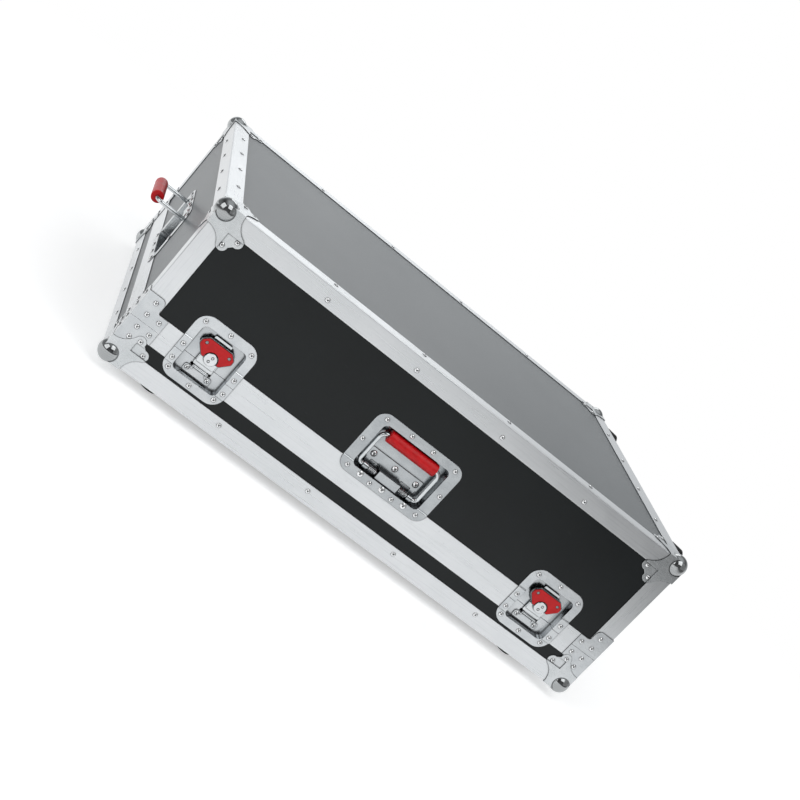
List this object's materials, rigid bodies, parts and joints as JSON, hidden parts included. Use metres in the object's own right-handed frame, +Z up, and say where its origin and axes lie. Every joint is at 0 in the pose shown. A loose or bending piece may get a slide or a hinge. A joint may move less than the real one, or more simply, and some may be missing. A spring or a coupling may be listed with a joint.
{
  "type": "flight case",
  "caption": "Wide flight case for a mixing desk: shallow base, deep hinged lid, aluminium edging, ball corners, recessed butterfly latches and sprung handles with red grips.",
  "frame": {"origin": "centre of the bounding box seen from above, on the floor under the feet", "axes": "+X along the case's length, to the right seen from the latch side; -Y towards the latches; +Z up"},
  "size_m": [1.13, 0.7258, 0.358],
  "materials": {
    "laminate": "fine-grained dark laminate on plywood",
    "edging": "satin anodised extrusion",
    "plated_steel": "bright zinc plating",
    "pressed_steel": "satin zinc plating",
    "spring_steel": "plain wire",
    "rivet": "bright",
    "red_grip": "soft moulded grip",
    "red_cover": "dipped cover",
    "rubber": "matt",
    "foam": "closed-cell foam"
  },
  "bodies": {
    "base": {"base_bottom_panel": "laminate", "base_front_panel": "laminate", "base_rear_panel": "laminate", "base_left_panel": "laminate", "base_right_panel": "laminate", "base_closing_frame": "edging", "base_bottom_edging": "edging", "base_corner_edging": "edging", "base_ball_corners": "plated_steel", "base_corner_braces": "plated_steel", "base_lining": "foam", "base_rivets": "rivet", "latch_lower_dishes": "pressed_steel", "latch_mount_plates": "pressed_steel", "latch_hinge_pins": "plated_steel", "hinge_base_leaves": "pressed_steel", "hinge_pins": "plated_steel", "rubber_feet": "rubber", "foot_screws": "plated_steel"},
    "lid": {"lid_top_panel": "laminate", "lid_front_panel": "laminate", "lid_rear_panel": "laminate", "lid_left_panel": "laminate", "lid_right_panel": "laminate", "lid_closing_frame": "edging", "lid_top_edging": "edging", "lid_corner_edging": "edging", "lid_ball_corners": "plated_steel", "lid_corner_braces": "plated_steel", "lid_lining": "foam", "lid_rivets": "rivet", "lid_end_feet": "rubber", "lid_foot_screws": "plated_steel", "latch_upper_dishes": "pressed_steel", "latch_keepers": "pressed_steel", "hinge_lid_leaves": "pressed_steel", "front_handle_dish": "pressed_steel", "left_handle_dish": "pressed_steel", "right_handle_dish": "pressed_steel", "handle_brackets": "pressed_steel", "handle_springs": "spring_steel"},
    "front_handle": {"front_bail": "plated_steel", "front_grip": "red_grip"},
    "left_handle": {"left_bail": "plated_steel", "left_grip": "red_grip"},
    "right_handle": {"right_bail": "plated_steel", "right_grip": "red_grip"},
    "left_link": {"left_latch_link": "plated_steel"},
    "left_hook": {"left_latch_hook": "plated_steel"},
    "left_rotor": {"left_latch_rotor": "plated_steel", "left_wing_pin": "plated_steel"},
    "left_wing": {"left_latch_wing": "plated_steel", "left_wing_cover": "red_cover"},
    "right_link": {"right_latch_link": "plated_steel"},
    "right_hook": {"right_latch_hook": "plated_steel"},
    "right_rotor": {"right_latch_rotor": "plated_steel", "right_wing_pin": "plated_steel"},
    "right_wing": {"right_latch_wing": "plated_steel", "right_wing_cover": "red_cover"}
  },
  "joints": [
    {"name": "lid_hinge", "type": "hinge", "parent": "base", "child": "lid", "pos_m": [0.0225, 0.359, 0.11], "axis": [-1, 0, 0], "range_deg": [0, 95]},
    {"name": "front_handle_pivot", "type": "hinge", "parent": "lid", "child": "front_handle", "pos_m": [0.0225, -0.346, 0.1405], "axis": [1, 0, 0], "range_deg": [0, 90], "stiffness_Nm_per_rad": 0.3, "springref_deg": -28.65},
    {"name": "left_handle_pivot", "type": "hinge", "parent": "lid", "child": "left_handle", "pos_m": [-0.486, 0, 0.215], "axis": [0, 1, 0], "range_deg": [-90, 0], "stiffness_Nm_per_rad": 0.3, "springref_deg": -118.6},
    {"name": "right_handle_pivot", "type": "hinge", "parent": "lid", "child": "right_handle", "pos_m": [0.531, 0, 0.215], "axis": [0, -1, 0], "range_deg": [0, 90], "stiffness_Nm_per_rad": 0.3, "springref_deg": -28.65},
    {"name": "left_link_swing", "type": "hinge", "parent": "base", "child": "left_link", "pos_m": [-0.347, -0.3437, 0.0988], "axis": [1, 0, 0], "range_deg": [0, 60]},
    {"name": "left_hook_slide", "type": "slide", "parent": "left_link", "child": "left_hook", "axis": [0, 0, 1], "range_m": [0, 0.0045]},
    {"name": "left_knob_twist", "type": "hinge", "parent": "left_link", "child": "left_rotor", "pos_m": [-0.347, -0.35, 0.127], "axis": [0, 1, 0], "range_deg": [0, 180]},
    {"name": "left_wing_fold", "type": "hinge", "parent": "left_rotor", "child": "left_wing", "pos_m": [-0.347, -0.3506, 0.127], "axis": [1, 0, 0], "range_deg": [0, 90]},
    {"name": "right_link_swing", "type": "hinge", "parent": "base", "child": "right_link", "pos_m": [0.392, -0.3437, 0.0988], "axis": [1, 0, 0], "range_deg": [0, 60]},
    {"name": "right_hook_slide", "type": "slide", "parent": "right_link", "child": "right_hook", "axis": [0, 0, 1], "range_m": [0, 0.0045]},
    {"name": "right_knob_twist", "type": "hinge", "parent": "right_link", "child": "right_rotor", "pos_m": [0.392, -0.35, 0.127], "axis": [0, 1, 0], "range_deg": [0, 180]},
    {"name": "right_wing_fold", "type": "hinge", "parent": "right_rotor", "child": "right_wing", "pos_m": [0.392, -0.3506, 0.127], "axis": [1, 0, 0], "range_deg": [0, 90]}
  ],
  "couplings": [
    {"joint": "left_hook_slide", "follows": "left_knob_twist", "m_per_rad": 0.001432},
    {"joint": "right_hook_slide", "follows": "right_knob_twist", "m_per_rad": 0.001432}
  ]
}
